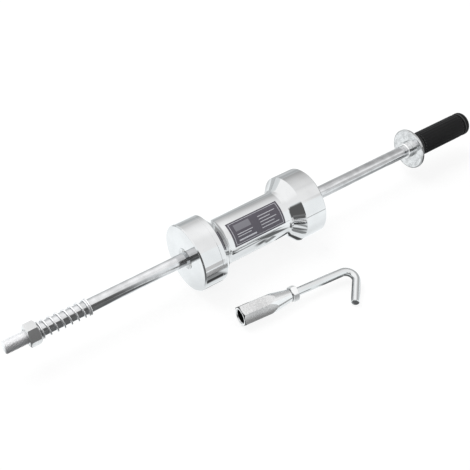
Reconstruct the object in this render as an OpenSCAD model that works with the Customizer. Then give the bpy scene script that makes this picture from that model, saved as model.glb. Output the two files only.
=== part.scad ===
// Slide hammer puller with its loose hook attachment.
// The shaft lies along X, with the front tip at the origin and the grip towards +X.
// +Z is up, and the heads of the hammer rest on the plane z = -head_d / 2.

/* [Shaft] */
// Diameter of the shaft
shaft_d = 15.9; // [14:0.1:17.5]
// Outer diameter of the thread on the stub at the front end
stub_d = 15.5; // [13.6:0.1:17]
// Length of the front thread that stands out of the nut
stub_len = 25.5; // [15:0.5:40]
// Length of the shaft from its front tip to the handle sleeve
run_len = 567.5; // [520:0.5:640]
// Chamfer on the front tip
tip_chamfer = 1.2; // [0.5:0.1:2]
// Diameter of the turned-down rear of the shaft, inside the sleeve
spigot_d = 13; // [12.6:0.1:13.6]
// Diameter of the thread at the rear end
rear_thread_d = 12; // [10:0.5:12.5]

/* [Front nut] */
// Width of the front nut across its flats
nut_af = 23.8; // [22:0.1:27]
// Length of the front nut along the shaft
nut_len = 13.5; // [8:0.5:18]
// Angle by which the front nut is turned from resting on a flat
nut_turn = 53; // [0:1:59]

/* [Buffer spring] */
// Diameter of the spring's wire
wire_d = 2; // [1.5:0.1:2.5]
// Gap between the shaft and the flats of the spring's curls
spring_slack = 0.15; // [0.1:0.05:0.5]
// Length of the spring when nothing presses on it
spring_len = 61; // [50:1:80]
// Number of closed turns against the front nut
front_turns = 1; // [1:0.5:2]
// Number of open turns
open_turns = 6.5; // [5:0.5:9]
// Number of closed turns at the free end
rear_turns = 1.5; // [1:0.5:2]
// Advance of the wire over each closed turn
end_pitch = 2.6; // [2.5:0.1:3.5]

/* [Hammer] */
// Diameter of the two heads of the hammer
head_d = 83; // [70:0.5:95]
// Length of each head's cylinder
head_len = 31.2; // [20:0.2:40]
// Length of each conical shoulder between a head and the neck
shoulder_len = 12.3; // [8:0.1:18]
// Diameter of the neck
neck_d = 56; // [44:0.5:62]
// Length of the neck between the shoulders
neck_len = 89.5; // [80:0.5:120]
// Bevel on the outer rim of each end face
rim_bevel = 1.5; // [0.5:0.1:3]
// Radius of the fillet between neck and shoulder
root_radius = 4; // [2:0.5:8]
// Diameter of the countersink round each mouth of the bore
mouth_d = 27; // [24:0.5:34]
// Free shaft between the spring and the hammer as it lies
hammer_gap = 125; // [5:1:280]

/* [Guide bushes] */
// Outer diameter of the guide bushes
bush_d = 21; // [19.5:0.5:23]
// Length of each guide bush
bush_len = 26; // [15:1:34]
// Gap all round between the shaft and a guide bush
run_clearance = 0.08; // [0.02:0.01:0.1]
// Gap all round between the shaft and the hammer between the bushes
relief = 0.8; // [0.5:0.1:1.5]

/* [Label] */
// Length of the label foil along the neck
label_len = 72.5; // [40:0.5:78]
// Width of the label foil round the neck
label_w = 30; // [20:1:50]
// Thickness of the label foil
label_t = 0.2; // [0.1:0.05:0.4]
// Angle of the label's middle above the horizontal, on the side away from +Y
label_angle = 49; // [0:1:90]

/* [Handle] */
// Outer diameter of the handle sleeve
sleeve_d = 21.3; // [20.5:0.1:22.5]
// Length of the sleeve that stands out in front of the guard disc
sleeve_lead = 7.5; // [4:0.5:15]
// Diameter of the guard disc
disc_d = 53; // [44:0.5:70]
// Thickness of the guard disc
disc_t = 4; // [2.5:0.1:6]
// Rounding of the guard disc's rim
disc_round = 0.8; // [0.4:0.1:1.2]
// Diameter of the rubber grip
grip_d = 31; // [27.5:0.5:36]
// Length of the rubber grip
grip_len = 97; // [80:0.5:130]
// Extra radius of the ring at the front end of the grip
grip_ring_h = 0.5; // [0.2:0.1:1.5]
// Length of that ring
grip_ring_len = 7; // [4:0.5:12]
// Depth of the two grooves round the grip
groove_depth = 0.9; // [0.4:0.1:1.5]
// Width of the two grooves round the grip
groove_w = 2; // [1:0.1:3]
// Length of the rounded end cap behind the rear groove
cap_len = 8; // [6:0.5:12]
// Radius of the rounding at the end of the grip
cap_round = 3.6; // [1:0.1:5]
// Thickness of the rubber that closes the rear end
cap_wall = 4.5; // [3:0.1:6]
// Diameter of the vent in the closed end
vent_d = 3; // [2:0.5:5]

/* [Handle fastening] */
// Thickness of the washer behind the sleeve
washer_t = 2.5; // [1.5:0.1:4]
// Width of the end nut across its flats
end_nut_af = 18; // [16:0.5:18]
// Length of the end nut
end_nut_len = 10; // [6:0.5:12]
// Length of thread that stands out behind the end nut
thread_rest = 1.5; // [0.5:0.5:4]

/* [Hook coupling] */
// Width of the coupling across its flats
coupling_af = 22.2; // [20.5:0.1:28]
// Length of the coupling
coupling_len = 66.3; // [60:0.1:90]
// Length of the coupling's full hexagon along its flats
coupling_hex_len = 44; // [34:0.5:50]
// Diameter of the coupling's round rear end
coupling_neck_d = 14.4; // [13:0.1:18]
// Depth of the threaded hole that takes the shaft
socket_depth = 32; // [25:0.5:36]
// Angle by which the coupling is rolled from resting on a flat
coupling_roll = 11; // [0:1:30]

/* [Hook] */
// Diameter of the hook's rod
hook_d = 10; // [8:0.1:11]
// Length of rod screwed into the coupling
hook_grip_len = 22; // [15:0.5:24]
// Distance from the coupling's mouth to the start of the bend
hook_reach = 137.5; // [115:0.5:180]
// Radius of the bend at the rod's centre line
bend_r = 11.3; // [10:0.1:20]
// Angle through which the rod is bent
bend_turn = 127; // [80:1:140]
// Length of the straight leg behind the bend
leg_len = 30.8; // [25:0.1:50]
// Chamfer on the two ends of the rod
hook_chamfer = 0.6; // [0.2:0.1:1]
// Width of the hook's lock nut across its flats
lock_af = 17; // [15:0.1:20]
// Length of the lock nut
lock_len = 8; // [5:0.5:12]
// Angle by which the lock nut is turned from resting on a flat
lock_turn = 20; // [0:1:59]

/* [Place of the hook] */
// Distance of the coupling's mouth behind the shaft's front tip
hook_at = 239; // [100:1:400]
// Distance between the shaft's axis and the coupling's mouth, to the side
hook_aside = 87.2; // [75:0.1:160]
// Angle between the coupling and the shaft on the ground
hook_yaw = 5.7; // [0:0.1:15]

/* [Hidden] */

// Number of sides that stand for a circle in a preview
round_sides = 96;
wire_sides = 6;
rings_per_turn = 8;
// How far a cut runs past the surface that it opens
overrun = 1;
// Gap all round in threads, and between a sleeve and what it is pushed on
thread_slack = 0.06;
push_slack = 0.05;
foil_slack = 0.05;
// Chamfer circle of a nut as a share of its width, and the slope of the chamfer
nut_face_share = 0.95;
nut_slope = 30;
edge_break = 0.4;
shoulder_break = 0.8;
socket_chamfer = 1.2;
// Distance of the shaft's rear shoulder in front of the sleeve's rear end
sleeve_setback = 1;
washer_inset = 0.3;
grip_end_gap = 1;
// The leg is drawn this much slimmer all round, and starts this far inside the bend
leg_inset = 0.03;
leg_overlap = 0.4;

nut_at = stub_len;
spring_at = nut_at + nut_len;
hammer_at = spring_at + spring_len + hammer_gap;
hammer_len = 2 * head_len + 2 * shoulder_len + neck_len;
neck_at = hammer_at + head_len + shoulder_len;
floor_z = -head_d / 2;

bore_d = shaft_d + 2 * run_clearance;
relief_d = shaft_d + 2 * relief;
mouth_depth = (mouth_d - bush_d) / 2;

disc_at = run_len + sleeve_lead;
grip_at = disc_at + disc_t;
grip_end = grip_at + grip_len;
sleeve_end = grip_end - cap_wall - grip_end_gap - thread_rest - end_nut_len - washer_t;
washer_d = sleeve_d - 2 * washer_inset;
shaft_end = sleeve_end + washer_t + end_nut_len + thread_rest;

// The curls have flats, so their corners stand further out than a round curl of this clearance
spring_corner_r = (shaft_d / 2 + spring_slack + wire_d / 2) / cos(180 / rings_per_turn);
open_pitch = (spring_len - wire_d - end_pitch * (front_turns + rear_turns)) / open_turns;
spring_turns = front_turns + open_turns + rear_turns;
// Angle of the wire's front end about the shaft
spring_start = 215;

coupling_corner_r = coupling_af / sqrt(3);
coupling_h = coupling_corner_r * cos(30 - coupling_roll);
leg_aside = bend_r * (1 - cos(bend_turn)) + leg_len * sin(bend_turn);
first_droop = asin((coupling_h - hook_d / 2) / leg_aside);
tip_drop = hook_d / 2 * sqrt(1 - pow(sin(bend_turn) * sin(first_droop), 2));
hook_droop = asin((coupling_h - tip_drop) / leg_aside);

// Turns a profile of [radius, distance along X] round the X axis
module turned() {
    rotate([0, 90, 0]) rotate_extrude($fn = round_sides) children();
}

// A hexagonal bar along X that rests on a flat
module hex_bar(af, length) {
    rotate([30, 0, 0]) rotate([0, 90, 0]) cylinder(r = af / sqrt(3), h = length, $fn = 6);
}

// A chamfered hexagon nut along X, with a plain hole as wide as its thread
module hex_nut(af, length, hole_d) {
    face_r = nut_face_share * af / 2;
    wide_r = af / sqrt(3) + overrun;
    rise = (wide_r - face_r) * tan(nut_slope);
    lead = thread_slack + edge_break;
    difference() {
        intersection() {
            hex_bar(af, length);
            turned() polygon([
                [0, 0], [face_r, 0], [wide_r, rise],
                [wide_r, length - rise], [face_r, length], [0, length]
            ]);
        }
        turned() polygon([
            [0, -overrun], [hole_d / 2 + lead + overrun, -overrun], [hole_d / 2, lead],
            [hole_d / 2, length - lead], [hole_d / 2 + lead + overrun, length + overrun],
            [0, length + overrun]
        ]);
    }
}

module shaft() {
    r = shaft_d / 2;
    stub_r = stub_d / 2;
    thread_r = rear_thread_d / 2;
    thread_at = sleeve_end - sleeve_setback;
    color("silver") turned() polygon([
        [0, 0], [stub_r - tip_chamfer, 0], [stub_r, tip_chamfer], [stub_r, stub_len],
        [r, stub_len], [r, run_len],
        [spigot_d / 2, run_len], [spigot_d / 2, thread_at],
        [thread_r, thread_at], [thread_r, shaft_end - edge_break],
        [thread_r - edge_break, shaft_end], [0, shaft_end]
    ]);
}

module front_nut() {
    color("lightgray") translate([nut_at, 0, 0]) rotate([nut_turn, 0, 0])
        hex_nut(nut_af, nut_len, shaft_d + 2 * thread_slack);
}

// Distance of the wire's centre behind the nut after a number of turns
function spring_x(turn) =
    wire_d / 2
    + end_pitch * (min(turn, front_turns) + max(turn - front_turns - open_turns, 0))
    + open_pitch * min(max(turn - front_turns, 0), open_turns);

// Centre of the wire after a number of turns
function wire_centre(turn) = [
    spring_x(turn),
    spring_corner_r * cos(spring_start + 360 * turn),
    spring_corner_r * sin(spring_start + 360 * turn)
];

// Ring of points round the wire after a number of turns, square to the coil
function wire_ring(turn) = [
    for (side = [0 : wire_sides - 1])
        let (a = 360 * side / wire_sides, b = spring_start + 360 * turn)
        wire_centre(turn) + wire_d / 2 * [sin(a), cos(a) * cos(b), cos(a) * sin(b)]
];

spring_rings = spring_turns * rings_per_turn;
spring_points = [for (i = [0 : spring_rings]) each wire_ring(i / rings_per_turn)];
spring_faces = [
    for (i = [0 : spring_rings - 1], side = [0 : wire_sides - 1])
        let (
            next = (side + 1) % wire_sides,
            a = i * wire_sides + side, b = i * wire_sides + next,
            c = a + wire_sides, d = b + wire_sides
        )
        each [[a, b, d], [a, d, c]]
];
spring_start_cap = [for (side = [1 : wire_sides - 2]) [0, side + 1, side]];
spring_end_cap = [
    for (side = [1 : wire_sides - 2])
        let (base = spring_rings * wire_sides) [base, base + side, base + side + 1]
];

// Least gap between turns: centres from half a turn apart up to one and a half turns apart
least_gap = min([
    for (i = [0 : spring_rings], j = [i + rings_per_turn / 2 : spring_rings])
        norm(wire_centre(i / rings_per_turn) - wire_centre(j / rings_per_turn)) - wire_d
]);
echo(spring_least_gap_mm = least_gap);

module buffer_spring() {
    color("whitesmoke") translate([spring_at, 0, 0])
        polyhedron(points = spring_points,
                   faces = concat(spring_faces, spring_start_cap, spring_end_cap));
}

// Half of the hammer's outline, from its end face to the middle of the neck
function hammer_half() =
    let (r = head_d / 2, neck_r = neck_d / 2)
    [
        [0, 0], [r - rim_bevel, 0], [r, rim_bevel], [r, head_len - shoulder_break],
        [r - shoulder_break, head_len], [neck_r, head_len + shoulder_len],
        [neck_r, hammer_len / 2], [0, hammer_len / 2]
    ];

// Concave fillet where the shoulder's cone meets the neck
module root_fillet() {
    slope = atan2(head_d / 2 - shoulder_break - neck_d / 2, shoulder_len);
    reach = root_radius * tan(slope / 2);
    corner = [neck_d / 2, head_len + shoulder_len];
    difference() {
        polygon([
            corner,
            corner + reach * [sin(slope), -cos(slope)],
            corner + [0, reach]
        ]);
        translate(corner + [root_radius, reach]) circle(r = root_radius, $fn = round_sides);
    }
}

module hammer_side() {
    turned() {
        polygon(hammer_half());
        root_fillet();
    }
}

module hammer_body() {
    seat_r = bush_d / 2;
    seat_len = mouth_depth + bush_len;
    color("gainsboro") translate([hammer_at, 0, 0]) difference() {
        union() {
            hammer_side();
            translate([hammer_len, 0, 0]) mirror([1, 0, 0]) hammer_side();
        }
        turned() polygon([
            [0, -overrun], [mouth_d / 2 + overrun, -overrun], [seat_r, mouth_depth],
            [seat_r, seat_len], [relief_d / 2, seat_len],
            [relief_d / 2, hammer_len - seat_len], [seat_r, hammer_len - seat_len],
            [seat_r, hammer_len - mouth_depth], [mouth_d / 2 + overrun, hammer_len + overrun],
            [0, hammer_len + overrun]
        ]);
    }
}

// A guide bush along X, with its lead-in at its outer end
module guide_bush() {
    in_r = bore_d / 2;
    out_r = bush_d / 2 - push_slack;
    turned() polygon([
        [in_r + edge_break, 0], [out_r, 0], [out_r, bush_len], [in_r, bush_len], [in_r, edge_break]
    ]);
}

module front_guide_bush() {
    color("darkgray") translate([hammer_at + mouth_depth, 0, 0]) guide_bush();
}

module rear_guide_bush() {
    color("darkgray") translate([hammer_at + hammer_len - mouth_depth, 0, 0])
        mirror([1, 0, 0]) guide_bush();
}

module hammer_label() {
    in_r = neck_d / 2 + foil_slack;
    arc = label_w / in_r * 180 / PI;
    color("dimgray") translate([neck_at + (neck_len - label_len) / 2, 0, 0])
        rotate([180 - label_angle - arc / 2, 0, 0]) rotate([0, 90, 0]) rotate([0, 0, 90])
            rotate_extrude(angle = arc, $fn = round_sides)
                translate([in_r, 0]) square([label_t, label_len]);
}

module handle_sleeve() {
    in_r = spigot_d / 2 + push_slack;
    out_r = sleeve_d / 2;
    color("silver") turned() polygon([
        [in_r, run_len], [out_r - edge_break, run_len], [out_r, run_len + edge_break],
        [out_r, sleeve_end], [in_r, sleeve_end]
    ]);
}

module guard_disc() {
    in_r = sleeve_d / 2 + push_slack;
    out_r = disc_d / 2;
    color("silver") translate([disc_at, 0, 0]) turned() {
        translate([in_r, 0]) square([out_r - disc_round - in_r, disc_t]);
        translate([out_r - disc_round, disc_round])
            square([disc_round, disc_t - 2 * disc_round]);
        for (x = [disc_round, disc_t - disc_round])
            translate([out_r - disc_round, x]) circle(r = disc_round, $fn = round_sides);
    }
}

module rubber_grip() {
    r = grip_d / 2;
    ring_r = r + grip_ring_h;
    low_r = r - groove_depth;
    cap_at = grip_len - cap_len;
    in_r = sleeve_d / 2 + push_slack;
    front_groove = grip_ring_len + groove_w;
    color([0.12, 0.12, 0.12]) translate([grip_at, 0, 0]) difference() {
        turned() {
            polygon([
                [0, 0], [ring_r - edge_break, 0], [ring_r, edge_break],
                [ring_r, grip_ring_len - edge_break], [ring_r - edge_break, grip_ring_len],
                [low_r, grip_ring_len], [low_r, front_groove], [r, front_groove + groove_depth],
                [r, cap_at - groove_w - groove_depth], [low_r, cap_at - groove_w],
                [low_r, cap_at], [r, cap_at], [r, grip_len - cap_round],
                [r - cap_round, grip_len - cap_round], [r - cap_round, grip_len], [0, grip_len]
            ]);
            translate([r - cap_round, grip_len - cap_round])
                circle(r = cap_round, $fn = round_sides);
        }
        turned() polygon([
            [0, -overrun], [in_r, -overrun], [in_r, grip_len - cap_wall],
            [vent_d / 2, grip_len - cap_wall], [vent_d / 2, grip_len + overrun],
            [0, grip_len + overrun]
        ]);
    }
}

module end_washer() {
    in_r = rear_thread_d / 2 + thread_slack;
    color("silver") translate([sleeve_end, 0, 0]) turned()
        translate([in_r, 0]) square([washer_d / 2 - in_r, washer_t]);
}

module end_nut() {
    color("silver") translate([sleeve_end + washer_t, 0, 0])
        hex_nut(end_nut_af, end_nut_len, rear_thread_d + 2 * thread_slack);
}

// Puts what is drawn along X from the coupling's mouth in its place on the ground
module hook_place() {
    translate([hook_at, -hook_aside, floor_z + coupling_h]) rotate([0, 0, -hook_yaw]) children();
}

module hook_coupling() {
    face_r = nut_face_share * coupling_af / 2;
    wide_r = coupling_corner_r + overrun;
    neck_r = coupling_neck_d / 2;
    slope = (coupling_af / 2 - neck_r) / (coupling_len - coupling_hex_len);
    wide_at = coupling_len - (wide_r - neck_r) / slope;
    hole_r = shaft_d / 2 + thread_slack;
    rod_hole_r = hook_d / 2 + thread_slack;
    color("lightgray") hook_place() difference() {
        intersection() {
            rotate([coupling_roll, 0, 0]) hex_bar(coupling_af, coupling_len);
            turned() polygon([
                [0, 0], [face_r, 0], [wide_r, (wide_r - face_r) * tan(nut_slope)],
                [wide_r, wide_at], [neck_r, coupling_len], [0, coupling_len]
            ]);
        }
        turned() polygon([
            [0, -overrun], [hole_r + socket_chamfer + overrun, -overrun], [hole_r, socket_chamfer],
            [hole_r, socket_depth], [0, socket_depth]
        ]);
        turned() polygon([
            [0, coupling_len - hook_grip_len - overrun],
            [rod_hole_r, coupling_len - hook_grip_len - overrun],
            [rod_hole_r, coupling_len + overrun], [0, coupling_len + overrun]
        ]);
    }
}

module hook_lock_nut() {
    color("silver") hook_place() translate([coupling_len, 0, 0]) rotate([lock_turn, 0, 0])
        hex_nut(lock_af, lock_len, hook_d + 2 * thread_slack);
}

module hook_rod() {
    r = hook_d / 2;
    leg_r = r - leg_inset;
    start = coupling_len - hook_grip_len;
    color("silver") hook_place() rotate([hook_droop, 0, 0]) {
        turned() polygon([
            [0, start], [r - hook_chamfer, start], [r, start + hook_chamfer],
            [r, hook_reach], [0, hook_reach]
        ]);
        mirror([0, 1, 0]) translate([hook_reach, bend_r, 0]) rotate([0, 0, -90])
            rotate_extrude(angle = bend_turn, $fn = round_sides)
                translate([bend_r, 0]) circle(r = r, $fn = round_sides);
        translate([hook_reach, -bend_r, 0]) rotate([0, 0, -bend_turn]) translate([0, bend_r, 0])
            turned() polygon([
                [0, -leg_overlap], [leg_r, -leg_overlap], [leg_r, leg_len - hook_chamfer],
                [leg_r - hook_chamfer, leg_len], [0, leg_len]
            ]);
    }
}

shaft();
front_nut();
buffer_spring();
hammer_body();
front_guide_bush();
rear_guide_bush();
hammer_label();
handle_sleeve();
guard_disc();
rubber_grip();
end_washer();
end_nut();
hook_coupling();
hook_lock_nut();
hook_rod();
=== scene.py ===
"""Looks of the slide hammer puller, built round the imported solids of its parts."""

import logging
import math
from dataclasses import dataclass, replace
from enum import Enum, IntEnum
from functools import cache

import bpy
import numpy as np
from mathutils import Matrix, Vector


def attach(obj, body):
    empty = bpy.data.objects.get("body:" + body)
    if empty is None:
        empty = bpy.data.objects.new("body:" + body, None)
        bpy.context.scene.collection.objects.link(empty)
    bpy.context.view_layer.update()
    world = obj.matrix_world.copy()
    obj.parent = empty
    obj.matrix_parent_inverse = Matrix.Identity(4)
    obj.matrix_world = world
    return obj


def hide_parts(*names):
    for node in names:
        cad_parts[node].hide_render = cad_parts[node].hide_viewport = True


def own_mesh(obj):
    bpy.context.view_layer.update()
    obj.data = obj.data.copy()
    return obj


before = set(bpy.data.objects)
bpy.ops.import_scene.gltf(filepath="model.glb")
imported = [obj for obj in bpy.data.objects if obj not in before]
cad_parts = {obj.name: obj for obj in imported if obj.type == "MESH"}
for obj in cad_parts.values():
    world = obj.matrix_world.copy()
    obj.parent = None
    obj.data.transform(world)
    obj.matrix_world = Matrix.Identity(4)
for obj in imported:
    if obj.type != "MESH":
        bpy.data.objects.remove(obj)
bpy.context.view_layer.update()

MM = 0.001
LOG = logging.getLogger("slide_hammer")
TAU = 2 * math.pi
ARC_STEP = math.radians(11)
# Points nearer than this, in millimetres, are one
WELD = 1e-4
SLIGHT = 1e-6
FLAT_STEPS, CORNER_STEPS = 16, 6
THREAD_STEPS, THREAD_SIDES = 8, 96
CONE_RISE = math.tan(math.pi / 6)
FACE_SHARE = 0.95
COLOUR_INPUTS, COLOUR_RESULT = (0, 6, 7), 2
FINE_GRAIN = 700.0
NOISE_MEAN, NOISE_HARSHNESS = 0.5, 0.55
FEW_LAYERS, MORE_LAYERS = 2.0, 3.0

# Where a soft edge starts and ends
Edge = tuple[float, float]


class Body(Enum):
    """Rigid bodies of the puller that pieces ride on."""

    SHAFT = "shaft_assembly"
    SPRING = "spring"
    BUSHES = "bushes"
    HAMMER = "hammer"
    COUPLING = "coupling"
    HOOK = "hook"


class Slot(Enum):
    """Material slots of the record."""

    SHAFT = "polished_shaft"
    NUT = "plated_nut"
    SPRING = "spring_wire"
    HAMMER = "polished_hammer"
    BUSH = "guide_bush"
    LABEL = "label_foil"
    DISC = "guard_plate"
    GRIP = "grip_rubber"
    COUPLING = "coupling_steel"
    ROD = "plated_rod"


class Value:
    """One output of a node tree, with the arithmetic that formulas need."""

    def __init__(self, tree: bpy.types.NodeTree, socket: bpy.types.NodeSocket) -> None:
        """Keeps the tree and the output that carries the number or vector."""
        self.tree = tree
        self.socket = socket

    def _math(self, operation: str, *values: "Value | float") -> "Value":
        """Adds a Math node on the given values.

        Args:
            operation: Blender's name of the operation.
            *values: Inputs in order.

        Returns:
            The node's output.
        """
        node = self.tree.nodes.new("ShaderNodeMath")
        node.operation = operation
        for index, value in enumerate(values):
            if isinstance(value, Value):
                self.tree.links.new(value.socket, node.inputs[index])
            else:
                node.inputs[index].default_value = value
        return Value(self.tree, node.outputs[0])

    def __add__(self, other: "Value | float") -> "Value":
        """Adds another value."""
        return self._math("ADD", self, other)

    __radd__ = __add__

    def __sub__(self, other: "Value | float") -> "Value":
        """Subtracts another value."""
        return self._math("SUBTRACT", self, other)

    def __rsub__(self, other: float) -> "Value":
        """Subtracts this value from a number."""
        return self._math("SUBTRACT", other, self)

    def __mul__(self, other: "Value | float") -> "Value":
        """Multiplies by another value."""
        return self._math("MULTIPLY", self, other)

    __rmul__ = __mul__

    def __truediv__(self, other: "Value | float") -> "Value":
        """Divides by another value."""
        return self._math("DIVIDE", self, other)

    def __lt__(self, other: "Value | float") -> "Value":
        """Gives 1 where this value is less than another, else 0."""
        return self._math("LESS_THAN", self, other)

    def __gt__(self, other: "Value | float") -> "Value":
        """Gives 1 where this value is greater than another, else 0."""
        return self._math("GREATER_THAN", self, other)

    def sin(self) -> "Value":
        """Sine of an angle in radians."""
        return self._math("SINE", self)

    def cos(self) -> "Value":
        """Cosine of an angle in radians."""
        return self._math("COSINE", self)

    def min(self, other: "Value | float") -> "Value":
        """Smaller of two values."""
        return self._math("MINIMUM", self, other)

    def max(self, other: "Value | float") -> "Value":
        """Larger of two values."""
        return self._math("MAXIMUM", self, other)

    def arctan2(self, other: "Value") -> "Value":
        """Angle of the point whose sine side is this value and cosine side the other."""
        return self._math("ARCTAN2", self, other)

    def smooth(self, low: float, high: float) -> "Value":
        """Rises smoothly from 0 at low to 1 at high.

        Args:
            low: Value that gives 0.
            high: Value that gives 1.

        Returns:
            The eased share.
        """
        node = self.tree.nodes.new("ShaderNodeMapRange")
        node.interpolation_type = "SMOOTHSTEP"
        self.tree.links.new(self.socket, node.inputs["Value"])
        node.inputs["From Min"].default_value = low
        node.inputs["From Max"].default_value = high
        return Value(self.tree, node.outputs["Result"])

    def fall(self, low: float, high: float) -> "Value":
        """Falls smoothly from 1 at low to 0 at high."""
        return 1 - self.smooth(low, high)

    def band(self, first: Edge, last: Edge) -> "Value":
        """Rises from 0 to 1 over a first soft edge and falls back over a last one."""
        return self.smooth(*first) * self.fall(*last)

    def towards(self, other: "Value | float", share: "Value") -> "Value":
        """Goes from this value to another by a share of the way."""
        return self + share * (other - self)


class Tree:
    """Adds nodes to a shader or geometry tree by type, settings and inputs."""

    def __init__(self, tree: bpy.types.NodeTree) -> None:
        """Keeps the tree that receives the nodes."""
        self.tree = tree

    def node(self, kind: str, settings: dict | None = None, **inputs: object) -> bpy.types.Node:
        """Adds one node.

        Args:
            kind: Blender's name of the node type.
            settings: Properties that are set before the inputs.
            **inputs: Input names, with underscores for spaces, and their values or links.

        Returns:
            The new node.
        """
        made = self.tree.nodes.new(kind)
        for name, value in (settings or {}).items():
            setattr(made, name, value)
        for name, value in inputs.items():
            self.set(made.inputs[name.replace("_", " ")], value)
        return made

    def set(self, socket: bpy.types.NodeSocket, value: object) -> None:
        """Links a value to an input, or stores a constant on it.

        Args:
            socket: Input socket.
            value: A Value, an output socket or a constant.
        """
        if isinstance(value, Value):
            value = value.socket
        if isinstance(value, bpy.types.NodeSocket):
            self.tree.links.new(value, socket)
        elif isinstance(value, bpy.types.Material):
            socket.default_value = value
        elif isinstance(socket.default_value, (int, float, bool, str)):
            socket.default_value = value
        elif isinstance(value, (int, float)):
            socket.default_value = [value] * len(socket.default_value)
        else:
            short = len(value) < len(socket.default_value)
            socket.default_value = (*value, 1.0) if short else value

    def value(self, socket: bpy.types.NodeSocket) -> Value:
        """Wraps an output socket for formulas."""
        return Value(self.tree, socket)

    def parts(self, vector: bpy.types.NodeSocket) -> tuple[Value, Value, Value]:
        """Splits a vector into its three components."""
        split = self.node("ShaderNodeSeparateXYZ", Vector=vector)
        return tuple(self.value(out) for out in split.outputs)

    def vector(self, x: object, y: object, z: object) -> bpy.types.NodeSocket:
        """Joins three components into a vector."""
        return self.node("ShaderNodeCombineXYZ", X=x, Y=y, Z=z).outputs[0]

    def noise(self, place: bpy.types.NodeSocket, scale: float, detail: float) -> Value:
        """Adds a noise texture.

        Args:
            place: Coordinates that it follows.
            scale: How fine it is, per metre.
            detail: How many finer layers it has.

        Returns:
            Its value, about 0.5 on average.
        """
        made = self.node(
            "ShaderNodeTexNoise", {"noise_dimensions": "3D"},
            Vector=place, Scale=scale, Detail=detail, Roughness=NOISE_HARSHNESS,
        )
        return self.value(made.outputs[0])

    def mix(self, share: object, first: object, second: object) -> bpy.types.NodeSocket:
        """Mixes two colours.

        Args:
            share: Share of the second colour.
            first: First colour.
            second: Second colour.

        Returns:
            The mixed colour.
        """
        made = self.node("ShaderNodeMix", {"data_type": "RGBA"})
        for index, value in zip(COLOUR_INPUTS, (share, first, second)):
            self.set(made.inputs[index], value)
        return made.outputs[COLOUR_RESULT]

    def join(
        self, kind: str, first: bpy.types.Node, second: bpy.types.Node, **inputs: object
    ) -> bpy.types.Node:
        """Joins two shaders in a Mix Shader or Add Shader node.

        Args:
            kind: Blender's name of the node type.
            first: First shader.
            second: Second shader.
            **inputs: The other input of a mix, Fac, the share of the second shader.

        Returns:
            The joining node.
        """
        made = self.node(kind, **inputs)
        self.set(made.inputs[-2], first.outputs[0])
        self.set(made.inputs[-1], second.outputs[0])
        return made

    def by_ray(
        self, plain: bpy.types.Node, mirrored: bpy.types.Node, seen: bpy.types.Node
    ) -> bpy.types.NodeSocket:
        """Picks a shader by what kind of ray looks.

        Args:
            plain: Shader that lights and shades the pieces.
            mirrored: Shader that metal shows.
            seen: Shader that the camera and glass show.

        Returns:
            The picked shader.
        """
        ray = self.node("ShaderNodeLightPath").outputs
        picked = self.join("ShaderNodeMixShader", plain, mirrored, Fac=ray["Is Glossy Ray"])
        for kind in ("Is Transmission Ray", "Is Camera Ray"):
            picked = self.join("ShaderNodeMixShader", picked, seen, Fac=ray[kind])
        return picked.outputs[0]


def bare(made: bpy.types.Material | bpy.types.World) -> Tree:
    """Empties the node tree of a new material or world.

    Args:
        made: The material or world.

    Returns:
        Its tree, without nodes.
    """
    made.use_nodes = True
    made.node_tree.nodes.clear()
    return Tree(made.node_tree)


@dataclass(frozen=True)
class Finish:
    """A finish that is made once and worn by any number of pieces."""

    name: str

    @cache
    def make(self) -> bpy.types.Material:
        """Gives the material, built when it is first asked for.

        Returns:
            The finished material.
        """
        material = bpy.data.materials.new(self.name)
        tree = bare(material)
        shader = tree.node("ShaderNodeBsdfPrincipled")
        tree.node("ShaderNodeOutputMaterial", Surface=shader.outputs[0])
        place = tree.node("ShaderNodeTexCoord").outputs["Object"]
        for label, value in self.inputs(tree, place).items():
            tree.set(shader.inputs[label], value)
        return material

    def inputs(self, tree: Tree, place: bpy.types.NodeSocket) -> dict[str, object]:
        """Gives what each input of the shader gets, with Object coordinates for patterns."""
        raise NotImplementedError


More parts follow.
